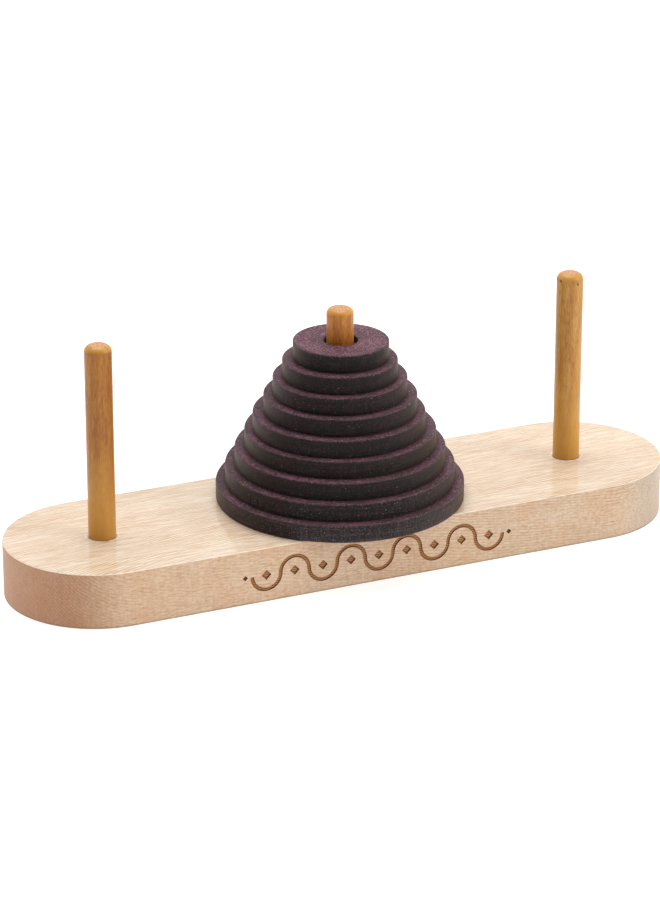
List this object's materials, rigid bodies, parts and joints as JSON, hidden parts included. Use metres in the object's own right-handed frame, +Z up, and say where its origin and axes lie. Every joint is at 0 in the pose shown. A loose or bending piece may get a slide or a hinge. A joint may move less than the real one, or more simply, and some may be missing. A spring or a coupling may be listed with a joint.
{
  "type": "tower of hanoi puzzle",
  "caption": "Round-ended wooden board with a row of dowel pegs and a conical stack of flat rings that lift off the middle peg.",
  "frame": {"origin": "on the surface it stands on, under the axis of the middle peg", "axes": "+X along the board to the right-hand peg as seen from the engraved edge, -Y towards the engraved edge, +Z up along the pegs"},
  "size_m": [0.234, 0.0826, 0.085],
  "materials": {
    "maple": "pale hard maple under a satin lacquer, with a burnt engraving in the front edge",
    "amber_dowel": "birch dowel under amber varnish, satin",
    "charred_purpleheart": "bare purpleheart sheet, plum-coloured flats and edges blackened by the laser that cut them"
  },
  "bodies": {
    "base": {"base_board": "maple", "left_peg": "amber_dowel", "centre_peg": "amber_dowel", "right_peg": "amber_dowel"},
    "ring_1": {"ring_1": "charred_purpleheart"},
    "ring_2": {"ring_2": "charred_purpleheart"},
    "ring_3": {"ring_3": "charred_purpleheart"},
    "ring_4": {"ring_4": "charred_purpleheart"},
    "ring_5": {"ring_5": "charred_purpleheart"},
    "ring_6": {"ring_6": "charred_purpleheart"},
    "ring_7": {"ring_7": "charred_purpleheart"},
    "ring_8": {"ring_8": "charred_purpleheart"},
    "ring_9": {"ring_9": "charred_purpleheart"}
  },
  "joints": [
    {"name": "ring_9_lift", "type": "slide", "parent": "base", "child": "ring_9", "axis": [0, 0, 1], "range_m": [0, 0.071]},
    {"name": "ring_8_lift", "type": "slide", "parent": "ring_9", "child": "ring_8", "axis": [0, 0, 1], "range_m": [0, 0.0649]},
    {"name": "ring_7_lift", "type": "slide", "parent": "ring_8", "child": "ring_7", "axis": [0, 0, 1], "range_m": [0, 0.0588]},
    {"name": "ring_6_lift", "type": "slide", "parent": "ring_7", "child": "ring_6", "axis": [0, 0, 1], "range_m": [0, 0.0527]},
    {"name": "ring_5_lift", "type": "slide", "parent": "ring_6", "child": "ring_5", "axis": [0, 0, 1], "range_m": [0, 0.0466]},
    {"name": "ring_4_lift", "type": "slide", "parent": "ring_5", "child": "ring_4", "axis": [0, 0, 1], "range_m": [0, 0.0405]},
    {"name": "ring_3_lift", "type": "slide", "parent": "ring_4", "child": "ring_3", "axis": [0, 0, 1], "range_m": [0, 0.0344]},
    {"name": "ring_2_lift", "type": "slide", "parent": "ring_3", "child": "ring_2", "axis": [0, 0, 1], "range_m": [0, 0.0283]},
    {"name": "ring_1_lift", "type": "slide", "parent": "ring_2", "child": "ring_1", "axis": [0, 0, 1], "range_m": [0, 0.0222]}
  ]
}
